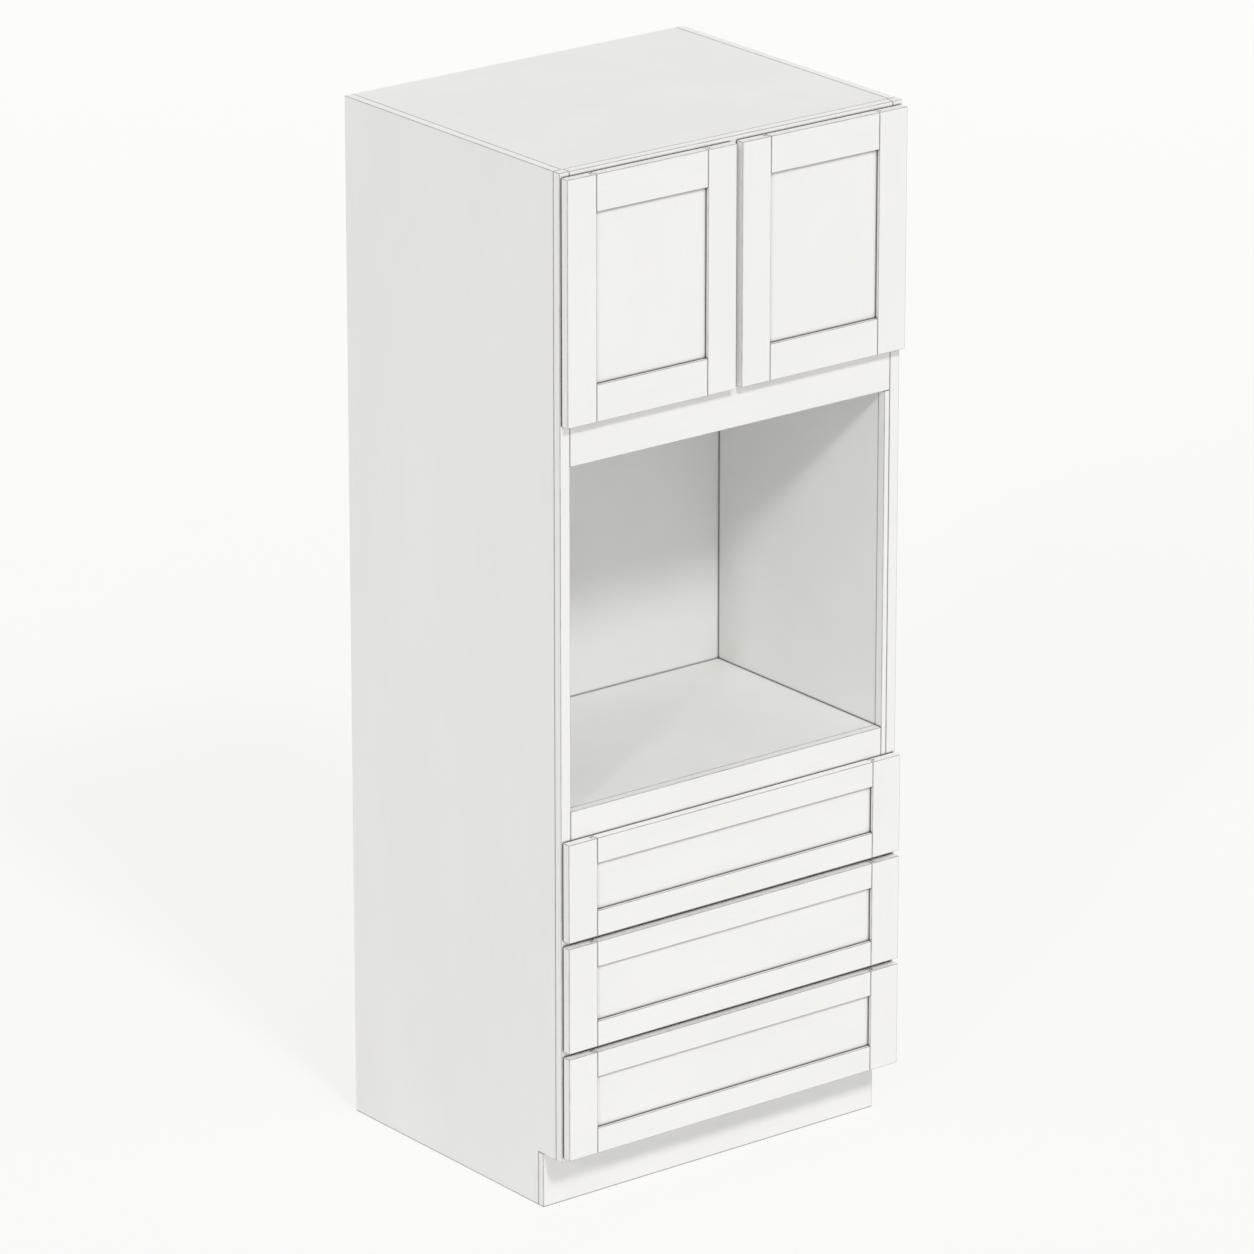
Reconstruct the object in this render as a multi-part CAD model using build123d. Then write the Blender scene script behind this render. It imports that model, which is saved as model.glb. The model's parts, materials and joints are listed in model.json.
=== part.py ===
from build123d import *
import os

# Tall face-frame oven cabinet: a two-door cupboard over an open oven bay over three drawers
# Millimetres. X runs right, Y runs to the rear, Z runs up, and the doors and drawers face -Y.
# The origin is on the floor, under the centre of the closed cabinet's outline.

# Driving sizes of the whole cabinet
cabinet_width = 838.2
cabinet_height = 2133.6
carcass_depth = 685.8
front_thickness = 19.0
front_standoff = 1.6

# Board thicknesses of the carcass
side_thickness = 19.05
panel_thickness = 18.0
deck_thickness = 19.05
back_thickness = 6.35
frame_thickness = 19.05
toe_board_thickness = 16.0

# Toe recess under the face frame
toe_kick_height = 114.3
toe_kick_depth = 76.2

# Oven opening, and the bands of face frame seen around the fronts
oven_opening_height = 701.3
head_band_height = 85.7
sill_band_height = 59.2
drawer_front_gap = 11.6
front_end_reveal = 9.5
front_side_reveal = 3.2
door_gap = 14.0

# The doors and drawer fronts share the height that the opening and the bands leave
drawer_share = {"bottom": 0.19, "middle": 0.1945, "top": 0.1805}
door_share = 0.435

# Face frame members
stile_width = 23.8
rail_height = 38.1
centre_stile_width = 38.1
front_lap = 12.0
filler_strip_width = 12.7

# Oven bay
bay_depth = 520.0
back_cleat_width = 38.1
back_cleat_thickness = 19.05
deck_cleat_height = 50.8
deck_cleat_thickness = 19.05

# Wall nailers and their screw holes
nailer_height = 101.6
nailer_thickness = 19.05
wall_hole_spacing = 406.4
wall_hole_radius = 2.5

# Shaker fronts: a grooved frame round a flat panel
door_stile_width = 70.0
door_rail_width = 75.0
drawer_stile_width = 70.0
drawer_rail_width = 53.0
panel_face_recess = 7.0
flat_panel_thickness = 6.0
groove_depth = 9.5
panel_edge_gap = 0.8
groove_face_gap = 0.1

# Drawer boxes with dovetailed corners
box_side_thickness = 15.0
box_end_thickness = 15.0
box_bottom_thickness = 6.0
box_bottom_rise = 12.0
box_groove_depth = 7.0
box_floor_gap = 14.0
box_top_gap = 16.0
dovetail_count = 4
dovetail_neck_share = 0.4
dovetail_flare = 4.0

# Ball-bearing drawer slides
slide_length = 533.4
slide_thickness = 12.7
slide_height = 45.0
slide_metal_thickness = 1.2
slide_front_setback = 3.0
slide_lip_clearance = 2.4
slide_edge_clearance = 0.5
slide_middle_offset = 3.2
slide_rise = 55.0
slide_screw_inset = 60.0

# Concealed door hinges
hinge_cup_radius = 17.5
hinge_cup_depth = 11.5
hinge_cup_wall = 1.0
hinge_cup_edge_inset = 5.0
hinge_end_inset = 90.0
hinge_flange_half_height = 29.0
hinge_flange_margin = 6.0
hinge_flange_thickness = 1.1
hinge_screw_half_spacing = 24.0
hinge_screw_offset = 6.0
hinge_arm_height = 16.0
hinge_arm_thickness = 9.0
hinge_arm_reach = 8.0
hinge_arm_tail = 42.0
hinge_plate_height = 44.0
hinge_plate_thickness = 2.4
hinge_plate_screw_rise = 15.0

# Bumpers between the fronts and the face frame
bumper_radius = 4.0
bumper_thickness = 1.3
bumper_inset = 14.0

# Screws
screw_head_radius = 4.0
screw_head_height = 2.0
screw_shank_radius = 1.9
carcass_screw_length = 14.0
hinge_cup_screw_length = 11.0

# Small gaps and the overrun of every cut
fit_gap = 0.4
cut_overrun = 1.0

# Planes across the width
side_outer_x = cabinet_width / 2
side_inner_x = side_outer_x - side_thickness
stile_inner_x = side_outer_x - stile_width
filler_inner_x = stile_inner_x - filler_strip_width
front_edge_x = side_outer_x - front_side_reveal

# Planes from front to rear
overall_depth = carcass_depth + front_standoff + front_thickness
front_face_y = -overall_depth / 2
front_rear_y = front_face_y + front_thickness
frame_front_y = front_rear_y + front_standoff
frame_back_y = frame_front_y + frame_thickness
carcass_back_y = overall_depth / 2
back_panel_y = carcass_back_y - back_thickness
nailer_front_y = back_panel_y - nailer_thickness
bay_back_y = frame_front_y + bay_depth
toe_notch_y = frame_front_y + toe_kick_depth
toe_face_y = toe_notch_y - toe_board_thickness

# Levels of the fronts, from the toe recess up
fronts_low_level = toe_kick_height + front_end_reveal
fronts_high_level = cabinet_height - front_end_reveal
middle_bands = sill_band_height + oven_opening_height + head_band_height
gaps_height = drawer_front_gap * (len(drawer_share) - 1)
fronts_height = fronts_high_level - fronts_low_level - middle_bands - gaps_height
drawer_levels = {}
next_level = fronts_low_level
for drawer_name, share in drawer_share.items():
    drawer_levels[drawer_name] = (next_level, next_level + fronts_height * share)
    next_level = drawer_levels[drawer_name][1] + drawer_front_gap
sill_level = drawer_levels["top"][1] + sill_band_height
head_level = sill_level + oven_opening_height
door_top_level = fronts_high_level
door_bottom_level = door_top_level - fronts_height * door_share

# Levels of the face frame and the boards behind it
bottom_rail_top = toe_kick_height + rail_height
lower_rail_centre = (drawer_levels["bottom"][1] + drawer_levels["middle"][0]) / 2
upper_rail_centre = (drawer_levels["middle"][1] + drawer_levels["top"][0]) / 2
sill_rail_bottom = drawer_levels["top"][1] - front_lap
head_rail_top = door_bottom_level + front_lap
top_rail_bottom = cabinet_height - rail_height
deck_underside = sill_level - deck_thickness
cupboard_floor_underside = head_rail_top - panel_thickness
top_panel_underside = cabinet_height - panel_thickness
bottom_panel_top = toe_kick_height + panel_thickness
nailer_centres = (deck_underside - nailer_height / 2, top_panel_underside - nailer_height / 2)
wall_hole_columns = (-wall_hole_spacing / 2, wall_hole_spacing / 2)

# Concealed hinge places on the right door
door_inner_x = door_gap / 2
hinge_cup_x = front_edge_x - hinge_cup_edge_inset - hinge_cup_radius
hinge_levels = (door_bottom_level + hinge_end_inset, door_top_level - hinge_end_inset)

# Drawer box planes
box_half_width = stile_inner_x - slide_thickness
box_front_y = front_rear_y
box_back_y = frame_front_y + slide_front_setback + slide_length

# Clear height of each drawer's opening in the face frame
drawer_openings = {
    "bottom": (bottom_rail_top, lower_rail_centre - rail_height / 2),
    "middle": (lower_rail_centre + rail_height / 2, upper_rail_centre - rail_height / 2),
    "top": (upper_rail_centre + rail_height / 2, sill_rail_bottom),
}


def block(x_span, y_span, z_span):
    """A board given by its low and high faces along each axis."""
    size = [high - low for low, high in (x_span, y_span, z_span)]
    corner = Location((x_span[0], y_span[0], z_span[0]))
    return Box(*size, align=(Align.MIN, Align.MIN, Align.MIN)).locate(corner)


def rod(radius, start, direction, length):
    """A round bar that begins at a point and runs along a direction."""
    plane = Plane(origin=start, z_dir=direction)
    return plane * Cylinder(radius, length, align=(Align.CENTER, Align.CENTER, Align.MIN))


def mirrored_x(shape):
    """The same piece on the cabinet's other side."""
    return mirror(shape, about=Plane.YZ)


def save(node, *shapes):
    """Write one node as a STEP file of separate solids."""
    solids = [solid for shape in shapes for solid in shape.solids()]
    body = solids[0] if len(solids) == 1 else Compound(children=solids)
    body.label = node
    export_step(body, f"parts/{node}.step")


def screw(seat, direction, length):
    """A pan-head screw: its head stands on the seat point and its shank runs along the direction."""
    axis = Vector(*direction)
    seat_point = Vector(*seat)
    head = rod(screw_head_radius, seat_point - axis * screw_head_height, axis, screw_head_height)
    return head + rod(screw_shank_radius, seat_point, axis, length)


def slide_level(name):
    """Centre height of one drawer's slides."""
    return box_levels(name)[0] + slide_rise


def slide_screws():
    """The screws that hold the right side's outer slide members, near each member's two ends."""
    slide_front = frame_front_y + slide_front_setback
    places = (slide_front + slide_screw_inset, slide_front + slide_length - slide_screw_inset)
    seat_x = stile_inner_x - slide_metal_thickness
    return [
        screw((seat_x, y, slide_level(name)), (1, 0, 0), carcass_screw_length)
        for name in drawer_share
        for y in places
    ]


def hinge_plate_screws():
    """The screws that hold the hinge plates on the right stile, above and below each arm."""
    seat_x = stile_inner_x - hinge_plate_thickness
    middle_y = (frame_front_y + frame_back_y) / 2
    return [
        screw((seat_x, middle_y, level + rise), (1, 0, 0), carcass_screw_length)
        for level in hinge_levels
        for rise in (-hinge_plate_screw_rise, hinge_plate_screw_rise)
    ]


def without(shape, tools):
    """A shape with every tool cut out of it."""
    for tool in tools:
        shape -= tool
    return shape


# Carcass


def side_panel():
    """The right side: one tall board, notched at the front for the toe recess."""
    board = block((side_inner_x, side_outer_x), (frame_back_y, carcass_back_y), (0, cabinet_height))
    notch = block(
        (side_inner_x - cut_overrun, side_outer_x + cut_overrun),
        (frame_back_y - cut_overrun, toe_notch_y),
        (-cut_overrun, toe_kick_height),
    )
    return without(board - notch, slide_screws())


def between_sides(y_span, z_span):
    """A board that fills the width between the two sides."""
    return block((-side_inner_x, side_inner_x), y_span, z_span)


def wall_hole(x, z):
    """A screw hole for the wall, through a nailer and the back panel."""
    start = (x, nailer_front_y - cut_overrun, z)
    length = nailer_thickness + back_thickness + cut_overrun * 2
    return rod(wall_hole_radius, start, (0, 1, 0), length)


def wall_holes():
    """Two holes at stud spacing in each nailer."""
    return [wall_hole(x, z) for z in nailer_centres for x in wall_hole_columns]


def nailer(centre_level):
    """A rail across the back that takes the wall screws."""
    span = (centre_level - nailer_height / 2, centre_level + nailer_height / 2)
    return without(between_sides((nailer_front_y, back_panel_y), span), wall_holes())


def back_panel():
    """The thin back, let in between the sides below the top."""
    board = between_sides((back_panel_y, carcass_back_y), (toe_kick_height, top_panel_underside))
    return without(board, wall_holes())


def deck_cleat():
    """A batten on the right side that carries the oven deck."""
    return block(
        (side_inner_x - deck_cleat_thickness, side_inner_x),
        (frame_back_y, nailer_front_y),
        (deck_underside - deck_cleat_height, deck_underside),
    )


def bay_back_cleat():
    """An upright batten behind the bay's back, on the right side."""
    return block(
        (side_inner_x - back_cleat_width, side_inner_x),
        (bay_back_y + back_thickness, bay_back_y + back_thickness + back_cleat_thickness),
        (sill_level, cupboard_floor_underside),
    )


def build_carcass():
    right = side_panel()
    behind_frame = (frame_back_y, back_panel_y)
    save("side_panel_right", right)
    save("side_panel_left", mirrored_x(right))
    save("top_panel", between_sides((frame_back_y, carcass_back_y), (top_panel_underside, cabinet_height)))
    save("bottom_panel", between_sides(behind_frame, (toe_kick_height, bottom_panel_top)))
    save("oven_deck", between_sides(behind_frame, (deck_underside, sill_level)))
    save("cupboard_floor", between_sides(behind_frame, (cupboard_floor_underside, head_rail_top)))
    save("back_panel", back_panel())
    save("wall_nailers", *[nailer(level) for level in nailer_centres])
    save("oven_deck_cleats", deck_cleat(), mirrored_x(deck_cleat()))
    toe_board = block((-side_outer_x, side_outer_x), (toe_face_y, toe_notch_y), (0, toe_kick_height))
    save("toe_kick_board", toe_board)


def build_oven_bay():
    height = (sill_level, cupboard_floor_underside)
    depth = (frame_back_y, bay_back_y)
    save("oven_bay_liner_left", block((-side_inner_x, -stile_inner_x), depth, height))
    save("oven_bay_liner_right", block((filler_inner_x, side_inner_x), depth, height))
    save("oven_bay_back", between_sides((bay_back_y, bay_back_y + back_thickness), height))
    save("oven_bay_back_cleats", bay_back_cleat(), mirrored_x(bay_back_cleat()))


# Face frame


def frame_member(x_span, z_span):
    """One stile or rail of the face frame."""
    return block(x_span, (frame_front_y, frame_back_y), z_span)


def frame_rail(low, high):
    """A rail from stile to stile."""
    return frame_member((-stile_inner_x, stile_inner_x), (low, high))


def build_face_frame():
    stile = frame_member((stile_inner_x, side_outer_x), (toe_kick_height, cabinet_height))
    stile = without(stile, hinge_plate_screws())
    save("face_stile_right", stile)
    save("face_stile_left", mirrored_x(stile))
    save("face_rail_top", frame_rail(top_rail_bottom, cabinet_height))
    save("face_rail_oven_head", frame_rail(head_level, head_rail_top))
    sill = frame_member((-stile_inner_x, filler_inner_x), (sill_rail_bottom, sill_level))
    save("face_rail_oven_sill", sill)
    save("oven_filler_strip", frame_member((filler_inner_x, stile_inner_x), (sill_rail_bottom, head_level)))
    half_centre = centre_stile_width / 2
    save("face_stile_centre", frame_member((-half_centre, half_centre), (head_rail_top, top_rail_bottom)))
    save("face_rail_bottom", frame_rail(toe_kick_height, bottom_rail_top))
    drawer_rails = [
        frame_rail(centre - rail_height / 2, centre + rail_height / 2)
        for centre in (lower_rail_centre, upper_rail_centre)
    ]
    save("face_rails_between_drawers", *drawer_rails)
    save("front_bumpers", *bumpers())


def bumpers():
    """Clear bumpers stuck on the face frame behind the doors' meeting edges and the drawers' top corners."""
    door_x = (door_inner_x + centre_stile_width / 2) / 2
    drawer_x = (stile_inner_x + front_edge_x) / 2
    places = [(door_x, door_bottom_level + bumper_inset), (door_x, door_top_level - bumper_inset)]
    places += [(drawer_x, top - bumper_inset) for _, top in drawer_levels.values()]
    discs = [
        rod(bumper_radius, (x, frame_front_y, level), (0, -1, 0), bumper_thickness) for x, level in places
    ]
    return discs + [mirrored_x(disc) for disc in discs]


# Shaker fronts


def shaker_front(x_span, z_span, stile, rail):
    """Stiles, rails and the flat panel of one door or drawer front, left and bottom pieces first."""
    left, right = x_span
    bottom, top = z_span
    depth = (front_face_y, front_rear_y)
    groove_front = front_face_y + panel_face_recess
    groove = (groove_front, groove_front + flat_panel_thickness)
    inner_x = (left + stile, right - stile)
    inner_z = (bottom + rail, top - rail)
    groove_void = block(
        (inner_x[0] - groove_depth, inner_x[1] + groove_depth),
        groove,
        (inner_z[0] - groove_depth, inner_z[1] + groove_depth),
    )
    tenon = (groove[0] + groove_face_gap, groove[1] - groove_face_gap)
    stile_groove = block(
        (inner_x[0] - groove_depth, inner_x[1] + groove_depth),
        groove,
        (bottom - cut_overrun, top + cut_overrun),
    )
    stiles = [
        block((left, inner_x[0]), depth, z_span) - stile_groove,
        block((inner_x[1], right), depth, z_span) - stile_groove,
    ]
    rails = []
    for low, high in ((bottom, inner_z[0]), (inner_z[1], top)):
        tongue_reach = groove_depth - panel_edge_gap
        tongue = block((inner_x[0] - tongue_reach, inner_x[1] + tongue_reach), tenon, (low, high))
        rails.append(block(inner_x, depth, (low, high)) + tongue - groove_void)
    panel_reach = groove_depth - panel_edge_gap
    panel = block(
        (inner_x[0] - panel_reach, inner_x[1] + panel_reach),
        tenon,
        (inner_z[0] - panel_reach, inner_z[1] + panel_reach),
    )
    return stiles, rails, panel


# Doors and their concealed hinges


def hinge_cup_bore(level):
    """The blind round recess in the right door's outer stile."""
    return rod(
        hinge_cup_radius + groove_face_gap,
        (hinge_cup_x, front_rear_y + cut_overrun, level),
        (0, -1, 0),
        hinge_cup_depth + groove_face_gap + cut_overrun,
    )


def hinge_cup_screws(level):
    """The two screws of one hinge cup, offset away from the door's edge."""
    x = hinge_cup_x - hinge_screw_offset
    y = front_rear_y + hinge_flange_thickness
    return [
        screw((x, y, level + rise), (0, -1, 0), hinge_cup_screw_length)
        for rise in (-hinge_screw_half_spacing, hinge_screw_half_spacing)
    ]


def hinge_cup(level):
    """The pressed cup with its flange, which turns with the right door."""
    mouth = (hinge_cup_x, front_rear_y, level)
    flange = block(
        (hinge_cup_x - hinge_screw_offset - hinge_flange_margin, hinge_cup_x + hinge_flange_margin),
        (front_rear_y, front_rear_y + hinge_flange_thickness),
        (level - hinge_flange_half_height, level + hinge_flange_half_height),
    )
    cup = flange + rod(hinge_cup_radius, mouth, (0, 1, 0), hinge_flange_thickness)
    cup += rod(hinge_cup_radius, mouth, (0, -1, 0), hinge_cup_depth)
    hollow = rod(
        hinge_cup_radius - hinge_cup_wall,
        (hinge_cup_x, front_rear_y - hinge_cup_depth + hinge_cup_wall, level),
        (0, 1, 0),
        hinge_cup_depth + hinge_flange_thickness,
    )
    return without(cup - hollow, hinge_cup_screws(level))


def hinge_arm(level):
    """The mounting plate on the right stile's inner edge, with the arm that reaches into the cup."""
    seat_x = stile_inner_x - hinge_plate_thickness
    plate = block(
        (seat_x, stile_inner_x),
        (frame_front_y + fit_gap, frame_back_y),
        (level - hinge_plate_height / 2, level + hinge_plate_height / 2),
    )
    arm = block(
        (seat_x - hinge_arm_thickness, seat_x),
        (frame_front_y - hinge_arm_reach, frame_front_y + hinge_arm_tail),
        (level - hinge_arm_height / 2, level + hinge_arm_height / 2),
    )
    return without(plate + arm, hinge_plate_screws())


def build_doors():
    stiles, rails, panel = shaker_front(
        (door_inner_x, front_edge_x), (door_bottom_level, door_top_level), door_stile_width, door_rail_width
    )
    meeting_stile, hinge_stile = stiles
    cup_screws = [part for level in hinge_levels for part in hinge_cup_screws(level)]
    hinge_stile = without(hinge_stile, [hinge_cup_bore(level) for level in hinge_levels] + cup_screws)
    pieces = {
        "stiles": [meeting_stile, hinge_stile],
        "rails": rails,
        "panel": [panel],
        "hinge_cups": [hinge_cup(level) for level in hinge_levels] + cup_screws,
    }
    for piece, shapes in pieces.items():
        save(f"door_right_{piece}", *shapes)
        save(f"door_left_{piece}", *[mirrored_x(shape) for shape in shapes])
    arms = [hinge_arm(level) for level in hinge_levels]
    save("hinge_arms", *arms, *[mirrored_x(arm) for arm in arms])


# Drawers


def box_levels(name):
    """Bottom and top of a drawer box inside its opening."""
    low, high = drawer_openings[name]
    return low + box_floor_gap, high - box_top_gap


def dovetails(low, high):
    """The tails on a box side's two ends, the lowest level with the bottom's groove."""
    margin = box_bottom_rise + box_bottom_thickness / 2
    pitch = (high - low - margin * 2) / (dovetail_count - 1)
    neck = pitch * dovetail_neck_share / 2
    mouth = neck + dovetail_flare
    inner_x = box_half_width - box_side_thickness
    wedges = []
    for end_y, inward in ((box_front_y, 1), (box_back_y, -1)):
        root_y = end_y + inward * box_end_thickness
        for index in range(dovetail_count):
            centre = low + margin + index * pitch
            outline = Polyline(
                (inner_x, root_y, centre - neck),
                (inner_x, root_y, centre + neck),
                (inner_x, end_y, centre + mouth),
                (inner_x, end_y, centre - mouth),
                close=True,
            )
            wedges.append(extrude(make_face(outline), amount=box_side_thickness, dir=(1, 0, 0)))
    return wedges


def box_bottom_span(low):
    """Low and high faces of the box bottom."""
    return low + box_bottom_rise, low + box_bottom_rise + box_bottom_thickness


def bottom_groove(low):
    """The groove round the inside of a box for its bottom panel."""
    inner_x = box_half_width - box_side_thickness + box_groove_depth
    inner_front = box_front_y + box_end_thickness - box_groove_depth
    inner_back = box_back_y - box_end_thickness + box_groove_depth
    return block((-inner_x, inner_x), (inner_front, inner_back), box_bottom_span(low))


def drawer_box(name):
    """Two sides, two ends and the bottom of one drawer box."""
    low, high = box_levels(name)
    groove = bottom_groove(low)
    tails = dovetails(low, high)
    inner_x = box_half_width - box_side_thickness
    side = block(
        (inner_x, box_half_width),
        (box_front_y + box_end_thickness, box_back_y - box_end_thickness),
        (low, high),
    )
    for tail in tails:
        side += tail
    side -= groove
    ends = []
    for y_span in (
        (box_front_y, box_front_y + box_end_thickness),
        (box_back_y - box_end_thickness, box_back_y),
    ):
        end = block((-box_half_width, box_half_width), y_span, (low, high))
        for tail in tails:
            end = end - tail - mirrored_x(tail)
        ends.append(end - groove)
    reach_x = inner_x + box_groove_depth - panel_edge_gap
    bottom_low, bottom_high = box_bottom_span(low)
    bottom = block(
        (-reach_x, reach_x),
        (
            box_front_y + box_end_thickness - box_groove_depth + panel_edge_gap,
            box_back_y - box_end_thickness + box_groove_depth - panel_edge_gap,
        ),
        (bottom_low + groove_face_gap, bottom_high - groove_face_gap),
    )
    return [side, mirrored_x(side)], ends, bottom


# Drawer slides, drawn for the right side: x falls from the carcass towards the drawer


def channel(back_x, lip_x, half_height, level):
    """A C-shaped steel section along the slide, with its web at back_x and lips out to lip_x."""
    towards = 1 if lip_x > back_x else -1
    web_x = sorted((back_x, back_x + towards * slide_metal_thickness))
    lips_x = sorted((back_x, lip_x))
    y_span = (frame_front_y + slide_front_setback, box_back_y)
    section = block(web_x, y_span, (level - half_height, level + half_height))
    section += block(lips_x, y_span, (level + half_height - slide_metal_thickness, level + half_height))
    section += block(lips_x, y_span, (level - half_height, level - half_height + slide_metal_thickness))
    return section


def slide_members(name):
    """Outer, middle and inner member of one drawer's right slide."""
    level = slide_level(name)
    wall_x = stile_inner_x
    drawer_x = box_half_width
    outer_half = slide_height / 2
    middle_half = outer_half - slide_metal_thickness - slide_lip_clearance
    inner_half = middle_half - slide_metal_thickness - slide_lip_clearance
    outer = channel(wall_x, drawer_x + slide_middle_offset, outer_half, level)
    outer = without(outer, slide_screws())
    middle_web = wall_x - slide_metal_thickness - slide_middle_offset
    middle = channel(middle_web, drawer_x + slide_metal_thickness + slide_edge_clearance, middle_half, level)
    inner_lip = middle_web - slide_metal_thickness - slide_edge_clearance
    inner = channel(drawer_x, inner_lip, inner_half, level)
    return outer, middle, inner


def packing_strip(name):
    """The strip that brings a slide flush with the stile's inner edge."""
    level = slide_level(name)
    strip = block(
        (stile_inner_x, side_inner_x),
        (frame_back_y, box_back_y),
        (level - slide_height / 2, level + slide_height / 2),
    )
    return without(strip, slide_screws())


def build_drawers():
    outers = []
    strips = []
    for name in drawer_share:
        stiles, rails, panel = shaker_front(
            (-front_edge_x, front_edge_x), drawer_levels[name], drawer_stile_width, drawer_rail_width
        )
        sides, ends, bottom = drawer_box(name)
        outer, middle, inner = slide_members(name)
        save(f"drawer_{name}_front_stiles", *stiles)
        save(f"drawer_{name}_front_rails", *rails)
        save(f"drawer_{name}_front_panel", panel)
        save(f"drawer_{name}_box_sides", *sides)
        save(f"drawer_{name}_box_ends", *ends)
        save(f"drawer_{name}_box_bottom", bottom)
        save(f"drawer_{name}_slide_inner_members", inner, mirrored_x(inner))
        save(f"drawer_{name}_slide_middle_members", middle, mirrored_x(middle))
        outers += [outer, mirrored_x(outer)]
        strips += [packing_strip(name), mirrored_x(packing_strip(name))]
    save("slide_outer_members", *outers)
    save("slide_packing_strips", *strips)


def build_screws():
    screws = slide_screws() + hinge_plate_screws()
    save("cabinet_screws", *screws, *[mirrored_x(part) for part in screws])


os.makedirs("parts", exist_ok=True)
build_carcass()
build_oven_bay()
build_face_frame()
build_doors()
build_drawers()
build_screws()
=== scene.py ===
# %% [markdown]
# # A white oven cabinet
# The object is a tall kitchen cabinet that holds a built-in oven: two shaker doors on top, an open bay
# with a deck in the middle, three shaker drawers below and a recess for the toes.
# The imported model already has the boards, slides, hinges and screws in place, so this script adds what
# the eye expects of the finished thing: eased edges, paint, wood, plated steel, light and a floor.
# Blender works in metres, so a size in millimetres is multiplied by MM where it enters.

# %% Load the cabinet
import json
import math

import bmesh
import bpy
import numpy as np
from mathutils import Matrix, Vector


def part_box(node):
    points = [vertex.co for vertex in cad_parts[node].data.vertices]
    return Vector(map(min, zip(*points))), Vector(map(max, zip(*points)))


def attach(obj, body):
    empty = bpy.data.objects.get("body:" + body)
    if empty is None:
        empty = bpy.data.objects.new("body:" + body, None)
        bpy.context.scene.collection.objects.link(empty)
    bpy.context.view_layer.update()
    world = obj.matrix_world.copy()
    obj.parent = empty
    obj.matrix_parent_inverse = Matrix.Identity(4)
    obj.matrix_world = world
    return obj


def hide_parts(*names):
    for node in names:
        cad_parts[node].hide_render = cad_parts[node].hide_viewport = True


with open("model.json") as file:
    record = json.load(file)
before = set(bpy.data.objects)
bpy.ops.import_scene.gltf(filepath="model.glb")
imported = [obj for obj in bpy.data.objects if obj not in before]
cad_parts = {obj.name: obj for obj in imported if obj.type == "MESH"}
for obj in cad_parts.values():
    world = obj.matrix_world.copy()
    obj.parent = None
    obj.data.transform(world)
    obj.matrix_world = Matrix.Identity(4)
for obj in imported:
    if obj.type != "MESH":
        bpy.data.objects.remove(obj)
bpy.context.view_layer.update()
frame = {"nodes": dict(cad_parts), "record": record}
bodies = frame["record"]["behaviour"]["bodies"]
body_of = {node: body for body, nodes in bodies.items() for node in nodes}

# %% [markdown]
# ## Small helpers
# A colour is written as hex, the way a paint card gives it, but the renderer works in linear light. One
# function turns the one into the other. One more adds a node to a material: it sets the node's own
# properties, and fills each input with a plain value or with another node's output.

# %% Colours and nodes
MM = 0.001
AXES = "xyz"


def linear(hex_colour):
    """An sRGB hex colour in linear light: c/12.92 for the darkest tones, ((c+0.055)/1.055)^2.4 above."""
    parts = np.array([int(hex_colour[place : place + 2], 16) for place in (1, 3, 5)]) / 255
    light = np.where(parts <= 0.04045, parts / 12.92, ((parts + 0.055) / 1.055) ** 2.4)
    return (*light.tolist(), 1.0)


def add(tree, kind, settings=None, inputs=None):
    """Add one shader node of a kind. Inputs are named, or numbered where several have the same name."""
    made = tree.nodes.new("ShaderNode" + kind)
    for name, value in (settings or {}).items():
        setattr(made, name, value)
    for name, value in (inputs or {}).items():
        if isinstance(value, bpy.types.NodeSocket):
            tree.links.new(value, made.inputs[name])
        else:
            made.inputs[name].default_value = value
    return made


print("middle grey in linear light", linear("#808080"))

# %% [markdown]
# Every material starts the same way: a Principled shader, its output, and the object's own coordinates.
# Each piece sits at the origin with its place in its mesh, so Object coordinates are simply the place in
# the cabinet, in metres, and a pattern runs at its real size on every piece without any unwrapping. Most
# patterns here are noise. Its cells are round, so a Mapping node draws them out along the grain.

# %% Start a material and draw its fibres


def start_material(name, **sockets):
    """A new material with a Principled shader, whose constant values are set on its own sockets."""
    material = bpy.data.materials.new(name)
    material.use_nodes = True
    tree = material.node_tree
    tree.nodes.clear()
    surface = add(tree, "BsdfPrincipled")
    for socket, value in sockets.items():
        surface.inputs[socket.replace("_", " ")].default_value = value
    add(tree, "OutputMaterial", inputs={"Surface": surface.outputs[0]})
    place = add(tree, "TexCoord").outputs["Object"]
    return material, tree, surface, place


def fibres(tree, place, grain, cell_mm, detail=3.0, offset=(0.0, 0.0, 0.0)):
    """Noise drawn out along the grain. cell_mm is the length of one cell along it and its width."""
    length_mm, width_mm = cell_mm
    scale = [1 / (width_mm * MM)] * len(AXES)
    scale[AXES.index(grain)] = 1 / (length_mm * MM)
    cells = {"Vector": place, "Location": offset, "Scale": scale}
    drawn_out = add(tree, "Mapping", inputs=cells).outputs[0]
    noise = {"Vector": drawn_out, "Scale": 1.0, "Detail": detail, "Roughness": 0.55}
    return add(tree, "TexNoise", inputs=noise).outputs["Fac"]


print("each pattern of fibres is 2 nodes")

# %% [markdown]
# A pattern does three things, as a fibre does on real wood: it stains the colour, it makes the surface
# duller or shinier, and it stands out or sinks in. A picture of wood could do the same, but a pattern has
# no seams and never repeats. Each use stretches a part of it, from low to high, over the values it needs.

# %% Stain a colour and finish a surface
# Noise hardly leaves 0.3 to 0.7, so these two are a soft step over its middle.
MIDDLE = (0.35, 0.65)


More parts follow.
